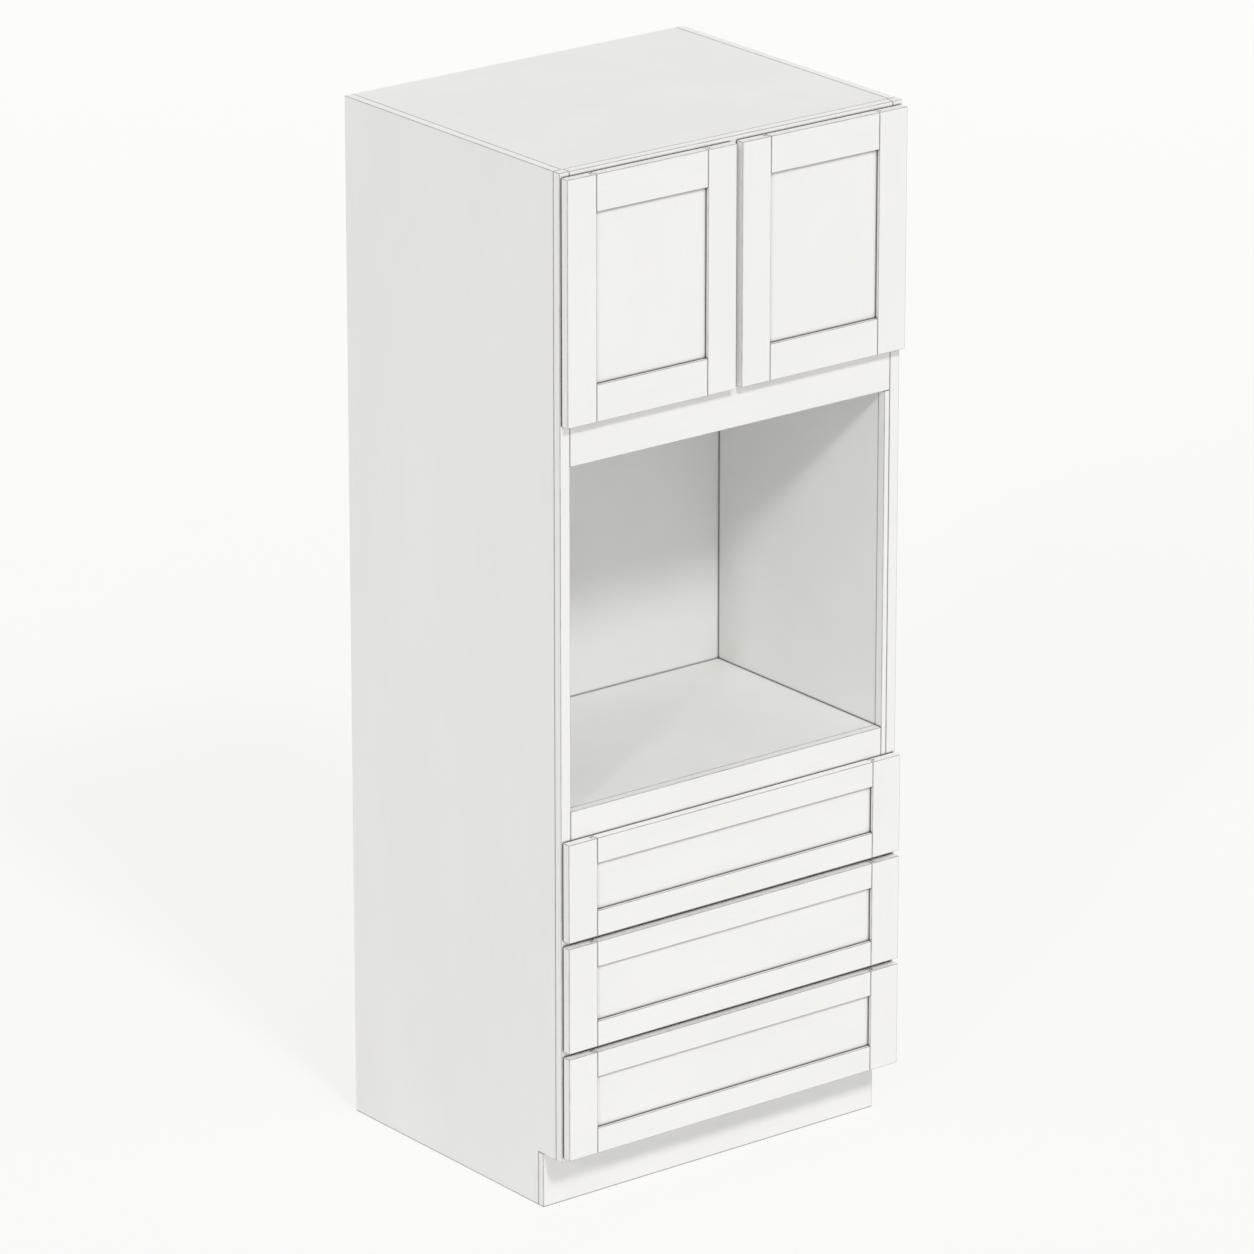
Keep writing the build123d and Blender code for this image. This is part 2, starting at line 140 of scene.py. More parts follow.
def stained(tree, colour, stain, pattern, low, high, least=0.0, most=1.0):
    """A colour under a stain, whose share goes from least, where the pattern is low, to most, where it is
    high. The stain is hex, and the colour is hex or what an earlier stain left."""
    base = linear(colour) if isinstance(colour, str) else colour
    limits = {"From Min": low, "From Max": high, "To Min": least, "To Max": most}
    share = add(tree, "MapRange", inputs={"Value": pattern, **limits}).outputs[0]
    # Input 0 of a Mix node is the share, 6 and 7 are its two colours, and output 2 is their mixture.
    colours = {0: share, 6: base, 7: linear(stain)}
    return add(tree, "Mix", {"data_type": "RGBA"}, colours).outputs[2]


def finished(tree, surface, colour, pattern, roughness, reliefs=(), low=0.3, high=0.7):
    """Colour, then roughness, which goes from its first value, where the pattern is low, to its second,
    where it is high. Each relief is (pattern, strength, depth in millimetres), over the one before."""
    if colour:
        tree.links.new(colour, surface.inputs["Base Color"])
    limits = {"From Min": low, "From Max": high, "To Min": roughness[0], "To Max": roughness[1]}
    dullness = add(tree, "MapRange", inputs={"Value": pattern, **limits}).outputs[0]
    tree.links.new(dullness, surface.inputs["Roughness"])
    below = {}
    for height, strength, depth_mm in reliefs:
        relief = {"Height": height, "Strength": strength, "Distance": depth_mm * MM, **below}
        below = {"Normal": add(tree, "Bump", inputs=relief).outputs[0]}
        tree.links.new(below["Normal"], surface.inputs["Normal"])


print("soft step", MIDDLE)

# %% [markdown]
# ## The white lacquer
# The face frame, the doors, the drawer fronts and the two sides are sprayed with a catalysed white lacquer
# and sanded between coats. Up close such a film is not quite flat: it dries with a fine orange-peel
# ripple a few millimetres wide, and the closed grain of the wood under it still shows faintly along
# each board. Dust and shadow gather in the joints, which is what draws the thin dark lines between
# boards that a line drawing of the cabinet shows. Both are painted into the colour here, as painted shade
# with some dirt: an Ambient Occlusion node finds those places from the geometry itself, so the lines
# stay in the joints from every side.
# An arris takes less lacquer than a flat face and is rubbed by the sanding block and by hands, so its
# undercoat shows through a little, more in some places than in others. It gets a lacquer of its own. The
# recessed panels get a third one, with painted shade spread out about a centimetre from the corners.

# %% Painted shade and dirt in the corners, and wear on the arrises
UNDERCOAT = "#8E887E"
# A place gets no painted shade where this share of the air round it is open, and the most at the other.
UNSHADED_AIR, SHADED_AIR = 0.92, 0.48
LEAST_WEAR = 0.7


def dirt_and_painted_shade(tree, colour, shade_and_dirt, reach_mm, strength):
    """Painted shade, with some dirt: a colour that darkens in corners and joints narrower than reach_mm."""
    reach = {"Distance": reach_mm * MM}
    # The less of the air round a place is open, the darker the painted shade there.
    open_air = add(tree, "AmbientOcclusion", {"samples": 12}, reach).outputs["AO"]
    return stained(tree, colour, shade_and_dirt, open_air, UNSHADED_AIR, SHADED_AIR, most=strength)


def worn_arris(tree, place, colour, wear):
    """A colour rubbed thin: the undercoat shows through it, more in some places than in others."""
    rubbed = fibres(tree, place, "z", cell_mm=(35, 35), offset=(2.0, 5.0, 1.0))
    return stained(tree, colour, UNDERCOAT, rubbed, *MIDDLE, least=LEAST_WEAR * wear, most=wear)


print("undercoat", UNDERCOAT)

# %% White lacquer on wood
# Colours of the painted shade on the recessed panels, and of the painted shade and dirt in the joints.
RECESS_SHADE, JOINT_SHADE_AND_DIRT = "#8E887E", "#3E3B37"


def white_lacquer(grain, name="sprayed_white_lacquer_grain_", wear=0.0, recess_shade=0.0):
    """White lacquer, which may be worn, as on an arris, or have painted shade spread out over it from the
    corners, as on a recessed panel."""
    coat = {"IOR": 1.5, "Coat_Weight": 0.12, "Coat_Roughness": 0.22}
    material, tree, surface, place = start_material(name + grain, **coat)
    cloud = fibres(tree, place, grain, cell_mm=(420, 180))
    telegraphed = fibres(tree, place, grain, cell_mm=(90, 2.6), detail=5.0)
    peel = fibres(tree, place, grain, cell_mm=(3.2, 3.2), detail=2.0, offset=(3.0, 1.0, 2.0))
    colour = stained(tree, "#F5F4F2", "#F2F1EE", cloud, *MIDDLE)
    colour = stained(tree, colour, "#E9E7E2", telegraphed, low=0.5, high=0.75, most=0.22)
    if wear:
        colour = worn_arris(tree, place, colour, wear)
    if recess_shade:
        # Painted shade spread out about a centimetre from the corners of a recessed panel.
        colour = dirt_and_painted_shade(tree, colour, RECESS_SHADE, reach_mm=13.0, strength=recess_shade)
    # Painted shade, with some dirt, in the joints and corners.
    colour = dirt_and_painted_shade(tree, colour, JOINT_SHADE_AND_DIRT, reach_mm=5.0, strength=0.95)
    finished(tree, surface, colour, peel, (0.30, 0.38), [(peel, 0.5, 0.05), (telegraphed, 0.5, 0.06)])
    return material


lacquer = {grain: white_lacquer(grain) for grain in "xz"}
lacquer_arris = {grain: white_lacquer(grain, "thinned_lacquer_arris_", wear=0.75) for grain in "xz"}
lacquer_recess = {grain: white_lacquer(grain, "recessed_lacquer_panel_", recess_shade=0.6) for grain in "xz"}
print("lacquers", [coats["z"].name for coats in (lacquer, lacquer_arris, lacquer_recess)])

# %% [markdown]
# ## The white laminate
# Inside, the boards are plywood faced with white melamine laminate. It is pressed against a textured
# plate, so it has a fine even pebble instead of a ripple, and it is a little duller and cooler than the
# lacquer. The pebble is about half a millimetre on the real board and is drawn at 1.4 mm here, because
# anything finer disappears between the pixels. The edges carry a glued band of the same laminate, and
# where it is trimmed flush, the arris is rubbed thin as well.

# %% White laminate
PEBBLE_MM = 1.4


def white_laminate(name="white_melamine_laminate", wear=0.0):
    """Pressed melamine: a pebble of cells, with faint long scuffs that polish it."""
    material, tree, surface, place = start_material(name, IOR=1.5)
    cells = {"Vector": place, "Scale": 1 / (PEBBLE_MM * MM)}
    pebble = add(tree, "TexVoronoi", inputs=cells).outputs["Distance"]
    cloud = fibres(tree, place, "z", cell_mm=(300, 300))
    scuffs = fibres(tree, place, "y", cell_mm=(160, 5), detail=4.0)
    colour = stained(tree, "#F3F3F1", "#EFEFEC", cloud, *MIDDLE)
    if wear:
        colour = worn_arris(tree, place, colour, wear)
    # Painted shade in the corners and joints of the laminated boards.
    colour = dirt_and_painted_shade(tree, colour, "#5B5853", reach_mm=6.0, strength=0.85)
    finished(tree, surface, colour, scuffs, (0.50, 0.38), [(pebble, 0.4, 0.05)], low=0.45, high=0.7)
    return material


laminate = white_laminate()
laminate_arris = white_laminate("laminate_edge_band_arris", wear=0.65)
print("laminates", laminate.name, laminate_arris.name)

# %% [markdown]
# ## Maple drawer boxes
# Good drawer boxes are solid maple under clear lacquer. Maple is pale and close-grained: soft bands a few
# centimetres wide, fine fibres about a millimetre apart, and small darker flecks. Where a board is cut
# across, as on the ends of the dovetails, lacquer soaks in and the wood shows darker growth rings. No
# one pattern shows both, so each cut has its own material.

# %% Maple, long grain and end grain
# The colour of the painted shade in the corners of the wood.
WOOD_CORNER_SHADE = "#5A4630"
# The bands of a Wave texture are this far apart at scale 1. Diagonal ones are twice as far apart along
# an edge, where the growth rings are measured.
BAND_PERIOD = 0.314
RINGS_MM = 6.0


def maple(grain):
    """Clear-lacquered maple with its grain along one axis."""
    coat = {"IOR": 1.5, "Coat_Weight": 0.3, "Coat_Roughness": 0.18}
    material, tree, surface, place = start_material("lacquered_maple_grain_" + grain, **coat)
    bands = fibres(tree, place, grain, cell_mm=(520, 34), detail=2.0)
    hairs = fibres(tree, place, grain, cell_mm=(70, 1.3), detail=4.0)
    flecks = fibres(tree, place, grain, cell_mm=(9, 1.1), detail=1.0, offset=(7.0, 2.0, 5.0))
    wood = stained(tree, "#EDDAB9", "#E0C59C", bands, low=0.35, high=0.68)
    wood = stained(tree, wood, "#D2B184", hairs, low=0.42, high=0.72, most=0.5)
    wood = stained(tree, wood, "#B38B5C", flecks, low=0.68, high=0.8, most=0.45)
    # Painted shade in the corners of the drawer boxes.
    wood = dirt_and_painted_shade(tree, wood, WOOD_CORNER_SHADE, reach_mm=3.0, strength=0.6)
    finished(tree, surface, wood, hairs, (0.28, 0.40), [(hairs, 0.5, 0.04)])
    return material


def maple_end_grain():
    """Growth rings bent by noise, with the pores between them."""
    material, tree, surface, place = start_material("lacquered_maple_end_grain", IOR=1.5)
    bend = {"Distortion": 3.0, "Detail": 3.0, "Detail Scale": 0.6}
    wave = {"Vector": place, "Scale": 2 * BAND_PERIOD / (RINGS_MM * MM), **bend}
    rings = add(tree, "TexWave", {"bands_direction": "DIAGONAL"}, wave).outputs["Fac"]
    pores = fibres(tree, place, "x", cell_mm=(0.8, 0.8), detail=1.0)
    wood = stained(tree, "#CDA775", "#B48A58", rings, low=0.0, high=1.0, most=0.8)
    wood = stained(tree, wood, "#8C6540", pores, low=0.6, high=0.75, most=0.5)
    finished(tree, surface, wood, pores, (0.40, 0.55))
    return material


maples = {grain: maple(grain) for grain in "xy"}
end_grain = maple_end_grain()
print("maples", maples["x"].name, maples["y"].name, end_grain.name)

# %% [markdown]
# ## Plywood
# Plywood has two looks. Its face veneer is peeled from a turning log, so birch shows wide wandering
# figure. Its edge shows the plies, about 1.4 mm each, light where the fibres run along the edge and dark
# where they point at the eye. A band pattern with a period of two plies across the board's thickness
# draws that. The drawer bottoms are lacquered; the nailers, cleats and packing strips are left raw.

# %% Birch faces and ply edges
FIGURE_STEP = 0.05
PLY_MM = 1.4


def birch_face(name, grain, light, dark, roughness):
    """Rotary-cut birch: fine fibres over long wandering figure, the contour lines of slow noise."""
    material, tree, surface, place = start_material(name, IOR=1.5)
    slow = fibres(tree, place, grain, cell_mm=(850, 110), detail=1.5)
    folded = {0: slow, 1: FIGURE_STEP}
    figure = add(tree, "Math", {"operation": "PINGPONG"}, folded).outputs[0]
    hairs = fibres(tree, place, grain, cell_mm=(60, 1.6), detail=4.0)
    wood = stained(tree, light, dark, figure, low=0.0, high=FIGURE_STEP)
    wood = stained(tree, wood, "#C7A676", hairs, low=0.45, high=0.75, most=0.3)
    # Painted shade in the corners of the plywood.
    wood = dirt_and_painted_shade(tree, wood, WOOD_CORNER_SHADE, reach_mm=3.0, strength=0.5)
    finished(tree, surface, wood, hairs, roughness, [(hairs, 0.5, 0.05)])
    return material


def ply_edge(thickness):
    """The edge of a board whose thickness lies along one axis: a sine with a period of two plies."""
    material, tree, surface, place = start_material("plywood_edge_" + thickness, IOR=1.5)
    wave = {"Vector": place, "Scale": BAND_PERIOD / (2 * PLY_MM * MM), "Distortion": 0.4, "Detail": 2.0}
    plies = add(tree, "TexWave", {"bands_direction": thickness.upper()}, wave).outputs["Fac"]
    ends = fibres(tree, place, thickness, cell_mm=(1.0, 4.0), detail=2.0)
    wood = stained(tree, "#DFC59A", "#AD8455", plies, *MIDDLE)
    wood = stained(tree, wood, "#7E5B38", ends, low=0.5, high=0.8, most=0.5)
    finished(tree, surface, wood, ends, (0.62, 0.78), [(plies, 0.6, 0.15)])
    return material


lacquered_birch = birch_face("lacquered_birch_plywood", "x", "#EBD8B2", "#E2C9A0", (0.30, 0.42))
raw = ("#E8D6B4", "#DFC9A2", (0.62, 0.74))
raw_birch = {axis: birch_face("raw_birch_plywood_" + axis, axis, *raw) for axis in AXES}
ply_edges = {axis: ply_edge(axis) for axis in AXES}
print("plywoods", lacquered_birch.name, raw_birch["x"].name, ply_edges["x"].name)

# %% [markdown]
# ## Plated steel and clear rubber
# The drawer slides are rolled from strip and zinc plated, which leaves a bluish, slightly cloudy metal
# with streaks along the slide, drawn half a millimetre wide, coarser than real ones, so that they show.
# The cup hinges are nickel plated, warmer and brighter. A metal's colour is its reflection, so both have
# metallic 1 and keep the default index of refraction.

# %% Zinc, nickel and polyurethane


def plated_steel(name, grain, light, dark, roughness):
    """Plated steel: cloudy plating over fine streaks from the rolls."""
    material, tree, surface, place = start_material(name, Metallic=1.0)
    cloud = fibres(tree, place, grain, cell_mm=(45, 7), detail=2.0)
    streaks = fibres(tree, place, grain, cell_mm=(60, 0.5))
    plating = stained(tree, light, dark, cloud, *MIDDLE)
    finished(tree, surface, plating, streaks, roughness, [(streaks, 0.3, 0.02)])
    return material


def clear_rubber():
    """Soft clear polyurethane, faintly clouded by dust on its skin."""
    clear = {"IOR": 1.5, "Transmission_Weight": 0.35, "Base_Color": linear("#F0F1EE")}
    material, tree, surface, place = start_material("clear_polyurethane", **clear)
    dust = fibres(tree, place, "z", cell_mm=(2.0, 2.0))
    finished(tree, surface, None, dust, (0.12, 0.30))
    return material


zinc = plated_steel("zinc_plated_rolled_steel", "y", "#C9CBCD", "#C0C3C6", (0.26, 0.40))
zinc_screw = plated_steel("bright_zinc_screw_steel", "z", "#CDD0D2", "#C4C7C9", (0.22, 0.36))
nickel = plated_steel("nickel_plated_pressed_steel", "z", "#CFCBC2", "#BDB8AE", (0.18, 0.32))
polyurethane = clear_rubber()
print("metals", zinc.name, zinc_screw.name, nickel.name)

# %% [markdown]
# ## Eased boards
# No real board has a knife-sharp edge: the maker breaks each arris with sandpaper, and the lacquer rounds
# it further. That thin rounding catches the light along every edge and makes a fine groove where two
# boards meet. A mesh could be drawn by hand for each board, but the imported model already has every
# tongue, groove and dovetail, so each board is a welded copy of its node with a Bevel modifier on top.
# The modifier can give the rounding a material of its own, which puts the thinned coat on the arrises.
# The node itself stays as it is and is only hidden.

# %% Weld a copy of a node and make it a piece
DOUBLES_MM, FLAT_DEGREES = 0.01, 1


def welded(node):
    """Vertices and faces of a node: doubles merged, and triangles of one plane joined into one face."""
    work = bmesh.new()
    work.from_mesh(frame["nodes"][node].data)
    bmesh.ops.remove_doubles(work, verts=work.verts, dist=DOUBLES_MM * MM)
    flat = math.radians(FLAT_DEGREES)
    bmesh.ops.dissolve_limit(work, angle_limit=flat, verts=work.verts, edges=work.edges)
    work.verts.index_update()
    points = [vertex.co[:] for vertex in work.verts]
    faces = [[vertex.index for vertex in face.verts] for face in work.faces]
    work.free()
    return points, faces


def placed(name, data):
    """A new object in the scene, at the origin."""
    made = bpy.data.objects.new(name, data)
    bpy.context.scene.collection.objects.link(made)
    return made


def piece(name, points, faces, materials, body, replaced=()):
    """A finished object: its mesh, its materials, the body it moves with and the nodes it stands for."""
    mesh = bpy.data.meshes.new(name)
    mesh.from_pydata(points, [], faces)
    mesh.validate()
    for material in materials:
        mesh.materials.append(material)
    mesh.shade_smooth()
    made = placed(name, mesh)
    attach(made, body)
    if replaced:
        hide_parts(*replaced)
    return made


print("the top rail has", len(welded("face_rail_top")[1]), "faces when welded")

# %% Ease its edges
ARRIS_DEGREES = 35


def eased(node, radius_mm, materials, face_kinds=None, arris=None):
    """A welded copy of a node with rounded edges. face_kinds gives each face the number of its material,
    and arris is the material of the rounding itself, where that differs."""
    points, faces = welded(node)
    materials = [*materials, arris] if arris else materials
    made = piece("eased_" + node, points, faces, materials, body_of[node], (node,))
    if face_kinds:
        polygons = made.data.polygons
        normals, centres = np.zeros((2, len(polygons), 3))
        polygons.foreach_get("normal", normals.ravel())
        polygons.foreach_get("center", centres.ravel())
        polygons.foreach_set("material_index", face_kinds(normals, centres).astype(np.int32))
    rounding = made.modifiers.new("eased_edges", "BEVEL")
    rounding.width = radius_mm * MM
    rounding.segments = 2
    rounding.limit_method = "ANGLE"
    rounding.angle_limit = math.radians(ARRIS_DEGREES)
    rounding.use_clamp_overlap = False
    rounding.harden_normals = True
    if arris:
        rounding.material = len(materials) - 1
    return made


print("an arris turns by more than", ARRIS_DEGREES, "degrees")

# %% [markdown]
# The painted parts come first. Stiles stand, so their grain runs up; rails lie, so theirs runs across.
# The easing is 1.5 mm on every edge that shows, a little more than the 1 mm of the real boards, because
# two eased edges side by side draw the joint between them, and a finer groove is lost between the pixels.

# %% Painted boards
SHOWN_EASING_MM = 1.5
PANEL_EASING_MM = 0.4
drawers = ("top", "middle", "bottom")
sides = ("left", "right")
fronts = [f"door_{side}" for side in sides] + [f"drawer_{name}_front" for name in drawers]
painted = {}
for front in fronts:
    painted[front + "_stiles"] = "z"
    painted[front + "_rails"] = "x"
    panel_grain = "z" if front.startswith("door") else "x"
    eased(front + "_panel", PANEL_EASING_MM, [lacquer_recess[panel_grain]])
for node in ("face_stile_left", "face_stile_right", "face_stile_centre", "oven_filler_strip"):
    painted[node] = "z"
for name in ("rail_top", "rail_oven_head", "rail_oven_sill", "rail_bottom", "rails_between_drawers"):
    painted["face_" + name] = "x"
painted["toe_kick_board"] = "x"
for node, grain in painted.items():
    eased(node, SHOWN_EASING_MM, [lacquer[grain]], arris=lacquer_arris[grain])
print("painted boards", len(painted), "and recessed panels", len(fronts))

# %% [markdown]
# The sides are plywood. Their outer faces, front edges and top edges are lacquered and their inner faces
# are laminate. Nobody paints what stands against the wall or on the floor, so the rear and bottom edges
# show bare plies. Each side stays one mesh, because a face's direction and place tell its finish.

# %% Cabinet sides
# A face looks along an axis where its normal has more than this along it.
ALONG = 0.9
FOOT_MM = 10


def side_faces(normals, centres):
    """0 for lacquered faces, 1 for bare rear and bottom edges, 2 for the inner face."""
    bottom = (normals[:, 2] < -ALONG) & (centres[:, 2] < FOOT_MM * MM)
    bare = (normals[:, 1] > ALONG) | bottom
    inner = normals[:, 0] * np.sign(centres[:, 0]) < -ALONG
    return np.where(bare, 1, np.where(inner, 2, 0))


for side in sides:
    coats = [lacquer["z"], ply_edges["x"], laminate]
    eased("side_panel_" + side, SHOWN_EASING_MM, coats, side_faces, arris=lacquer_arris["z"])
print("cabinet sides", len(sides))

# %% [markdown]
# The boards inside are laminated on both faces. The back panel and the bay's back are laminated only
# towards the front, and their rear is raw birch. The rear edge of the top shows its plies. Edges that
# nobody sees or touches are eased less.

# %% Laminated boards
HIDDEN_EASING_MM = 0.5


def rear(normals, centres):
    """1 for faces that look to the rear, and 0 for the others."""
    return normals[:, 1] > ALONG


for node in ("oven_deck", "oven_bay_liner_left", "oven_bay_liner_right"):
    eased(node, SHOWN_EASING_MM, [laminate], arris=laminate_arris)
for node in ("cupboard_floor", "bottom_panel"):
    eased(node, HIDDEN_EASING_MM, [laminate])
eased("top_panel", SHOWN_EASING_MM, [laminate, ply_edges["z"]], rear, arris=laminate_arris)
for node in ("back_panel", "oven_bay_back"):
    eased(node, PANEL_EASING_MM, [laminate, raw_birch["z"]], rear)
print("laminated boards done")

# %% [markdown]
# Raw plywood strips carry the boards and take the screws. Each has its plies across its thinnest
# direction, so every face that doesn't look along that direction is an edge.
# The drawer boxes are solid maple. The sides' grain runs from front to rear and the ends' grain runs
# across. The faces at the ends of the boards show end grain, which makes the dovetails stand out on every
# corner.

# %% Raw plywood strips and drawer boxes
THIN_EASING_MM = 0.3


def facing(axis, those=1, others=0):
    """The material's number for faces that look along an axis, either way, and for the other faces."""
    index = AXES.index(axis)
    return lambda normals, centres: np.where(np.abs(normals[:, index]) > ALONG, those, others)


strips = {
    "wall_nailers": ("x", "y"),
    "oven_deck_cleats": ("y", "x"),
    "oven_bay_back_cleats": ("z", "y"),
    "slide_packing_strips": ("y", "x"),
}
for node, (grain, thickness) in strips.items():
    plywood = [raw_birch[grain], ply_edges[thickness]]
    eased(node, HIDDEN_EASING_MM, plywood, facing(thickness, those=0, others=1))
for name in drawers:
    box = f"drawer_{name}_box_"
    eased(box + "sides", HIDDEN_EASING_MM, [maples["y"], end_grain], facing("y"))
    eased(box + "ends", HIDDEN_EASING_MM, [maples["x"], end_grain], facing("x"))
    eased(box + "bottom", THIN_EASING_MM, [lacquered_birch])
print("plywood strips", len(strips), "drawer boxes", len(drawers))

# %% [markdown]
# ## Rolled and pressed steel
# The slide members are rolled from strip and the hinge arms are pressed, so their bends are round. A
# profile could be swept along each slide, but the same welded copies serve, with the bevel set to the
# radius of the bend.

# %% Slide members and hinge arms
ROLLED_BEND_MM, PRESSED_BEND_MM = 0.4, 1.0
eased("slide_outer_members", ROLLED_BEND_MM, [zinc])
for name in drawers:
    eased(f"drawer_{name}_slide_inner_members", ROLLED_BEND_MM, [zinc])
    eased(f"drawer_{name}_slide_middle_members", ROLLED_BEND_MM, [zinc])
eased("hinge_arms", PRESSED_BEND_MM, [nickel])
print("nodes of slide members", 1 + 2 * len(drawers), "and one of hinge arms")

# %% [markdown]
# ## Turned forms as surfaces
# Screws, hinge cups, bumpers and the balls in the slides are all round about an axis. A primitive
# cylinder would leave them blank, and modelling each by hand would be slow, so each is worked out as rows
# of points: every row is a ring about the axis, with its own radius and height, and the rings are joined
# one to the next. A formula may also push a ring's points in or out, which is how a screw's cross recess
# is cut. All the points of a form are worked out at once as one array.

# %% Rings about an axis
TURNS = 32
angles = np.linspace(0, 2 * np.pi, TURNS, endpoint=False)


def ring_faces(rows, turns, closed=False):
    """Quads between each ring and the next, and between the last and the first where it is closed."""
    row = np.arange(rows if closed else rows - 1)[:, None]
    turn = np.arange(turns)[None, :]
    after, beside = (row + 1) % rows, (turn + 1) % turns
    corners = (row * turns + turn, row * turns + beside, after * turns + beside, after * turns + turn)
    return np.stack(corners, axis=-1).reshape(-1, 4)


def across(direction):
    """Two unit vectors that stand square to a direction along one of the axes."""
    first = np.roll(np.abs(direction), 1)
    return first, np.cross(direction, first)


def turned(radii, heights, start, direction):
    """Rings in millimetres: start + height * direction + radius * (cos a * u + sin a * v)."""
    u, v = across(np.array(direction, float))
    circle = np.cos(angles)[:, None] * u + np.sin(angles)[:, None] * v
    radii, heights = (np.array(rows, float).reshape(len(rows), -1, 1) for rows in (radii, heights))
    offset = radii * circle + heights * np.array(direction, float)
    return (np.array(start, float) + offset * MM).reshape(-1, 3), ring_faces(len(radii), TURNS)


print("a ring has", TURNS, "points")

# %% Shapes joined into a piece
SEAM_MM, CREASE_DEGREES = 0.001, 38


def joined(shapes):
    """Several (points, faces) shapes as one: each one's face numbers move up by the points before it."""
    points, faces, count = [], [], 0
    for shape_points, shape_faces in shapes:
        points.append(shape_points)
        faces += (np.array(shape_faces) + count).tolist()
        count += len(shape_points)
    return np.concatenate(points), faces


def surfaced(name, shapes, materials, body, replaced=()):
    """A piece from numpy shapes: its poles and seams are merged and its faces are turned outwards."""
    points, faces = joined(shapes)
    made = piece(name, points.tolist(), faces, materials, body, replaced)
    work = bmesh.new()
    work.from_mesh(made.data)
    bmesh.ops.remove_doubles(work, verts=work.verts, dist=SEAM_MM * MM)
    bmesh.ops.recalc_face_normals(work, faces=work.faces)
    work.to_mesh(made.data)
    work.free()
    made.data.set_sharp_from_angle(angle=math.radians(CREASE_DEGREES))
    return made


print("a crease turns by more than", CREASE_DEGREES, "degrees")

# %% [markdown]
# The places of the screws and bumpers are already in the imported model. Each one is an island of connected
# points in its node's mesh, and a screw's head is at the end where the island is wide. A list of places
# would be shorter, but it would be wrong as soon as a screw moved in the model.

# %% Find the screws and bumpers
HEAD_HEIGHT, HEAD_RADIUS, SHANK_RADIUS = 2.0, 4.0, 1.85
WIDE = 0.9


def islands(node):
    """Each island's points: the lowest label spreads along the edges until nothing changes."""
    points, faces = welded(node)
    points = np.array(points)
    ends = np.array([pair for face in faces for pair in zip(face, face[1:] + face[:1])])
    labels = np.arange(len(points))
    before = None
    while before is None or (labels != before).any():
        before = labels.copy()
        lowest = np.minimum(labels[ends[:, 0]], labels[ends[:, 1]])
        np.minimum.at(labels, ends[:, 0], lowest)
        np.minimum.at(labels, ends[:, 1], lowest)
    return [points[labels == label] for label in np.unique(labels)]


def paired(node):
    """For each island of parts that stand left and right: 1 on the right and -1 on the left, the x nearest
    to the cabinet's middle and farthest from it, the front and rear y, and the z half way up."""
    for island in islands(node):
        low, high = island.min(0), island.max(0)
        hand = 1.0 if low[0] + high[0] > 0 else -1.0
        near, far = (low[0], high[0]) if hand > 0 else (high[0], low[0])
        yield hand, near, far, low[1], high[1], (low[2] + high[2]) / 2


def screw_seat(island, head_height):
    """A screw's seat under its head, its direction into the wood and its length, from its points."""
    low, high = island.min(0), island.max(0)
    axis = int(np.argmax(high - low))
    others = [other for other in range(3) if other != axis]
    centre = (low + high) / 2
    radius = np.hypot(*(island[:, others] - centre[others]).T)
    head_at_low = island[radius > radius.max() * WIDE, axis].mean() < centre[axis]
    direction = np.eye(3)[axis] * (1.0 if head_at_low else -1.0)
    seat = centre.copy()
    seat[axis] = (low if head_at_low else high)[axis] + direction[axis] * head_height
    return seat, direction, (high - low)[axis] - head_height


screws = [screw_seat(island, HEAD_HEIGHT * MM) for island in islands("cabinet_screws")]
print("screws found", len(screws))

# %% [markdown]
# The screws are pan-head wood screws with a cross recess. The head is a low dome whose height falls as
# the square root of one minus the radius to a power, and the recess is sunk where a point is close to
# one of the two lines of the cross but not too far along it. A Boolean could cut the cross, but it would
# leave long thin faces.

# %% Pan-head screws
HEAD_RINGS = [0, 0.3, 0.55, 0.8, 1.1, 1.4, 1.7, 2.0, 2.3, 2.6, 3.0, 3.4, 3.75, 3.95, HEAD_RADIUS]
RIM_SHARE, DOME_POWER = 0.35, 3.2
# The recess is empty at the first distance from its line or centre, and at its full depth at the second.
RECESS_DEPTH, RECESS_SIDE, RECESS_END = 1.25, (0.72, 0.42), (2.35, 1.75)
# Shares of the shank's radius and length, from under the head to the point.
TAPER = np.array([(1.0, 0.0), (1.0, 0.7), (0.75, 0.88), (0.0, 1.0)])


def smooth(value, edge_zero, edge_one):
    """0 at one edge and 1 at the other, with a soft s-curve between: 3t^2 - 2t^3."""
    share = np.clip((value - edge_zero) / (edge_one - edge_zero), 0, 1)
    return share * share * (3 - 2 * share)


def pan_head_screw(seat, direction, length_mm):
    """Dome with a cross recess, flat underside and tapered shank, as rings from crown to tip."""
    radius = np.array(HEAD_RINGS)
    fall = np.sqrt(1 - (radius / HEAD_RADIUS) ** DOME_POWER)
    dome = HEAD_HEIGHT * (RIM_SHARE + (1 - RIM_SHARE) * fall)
    x, y = abs(radius[:, None] * np.cos(angles)), abs(radius[:, None] * np.sin(angles))
    near_line = smooth(np.minimum(x, y), *RECESS_SIDE)
    near_centre = smooth(np.maximum(x, y), *RECESS_END)
    sunk = dome[:, None] - RECESS_DEPTH * near_line * near_centre
    radii = np.concatenate([radius, [HEAD_RADIUS], SHANK_RADIUS * TAPER[:, 0]])
    depth = np.concatenate([[0.0], length_mm * TAPER[:, 1]])
    heights = np.concatenate([-sunk, np.repeat(depth[:, None], TURNS, axis=1)])
    return turned(radii, heights, seat, direction)


shapes = [pan_head_screw(seat, direction, length / MM) for seat, direction, length in screws]
surfaced("pan_head_screws", shapes, [zinc_screw], "carcass", ("cabinet_screws",))
print("screws made", len(shapes))

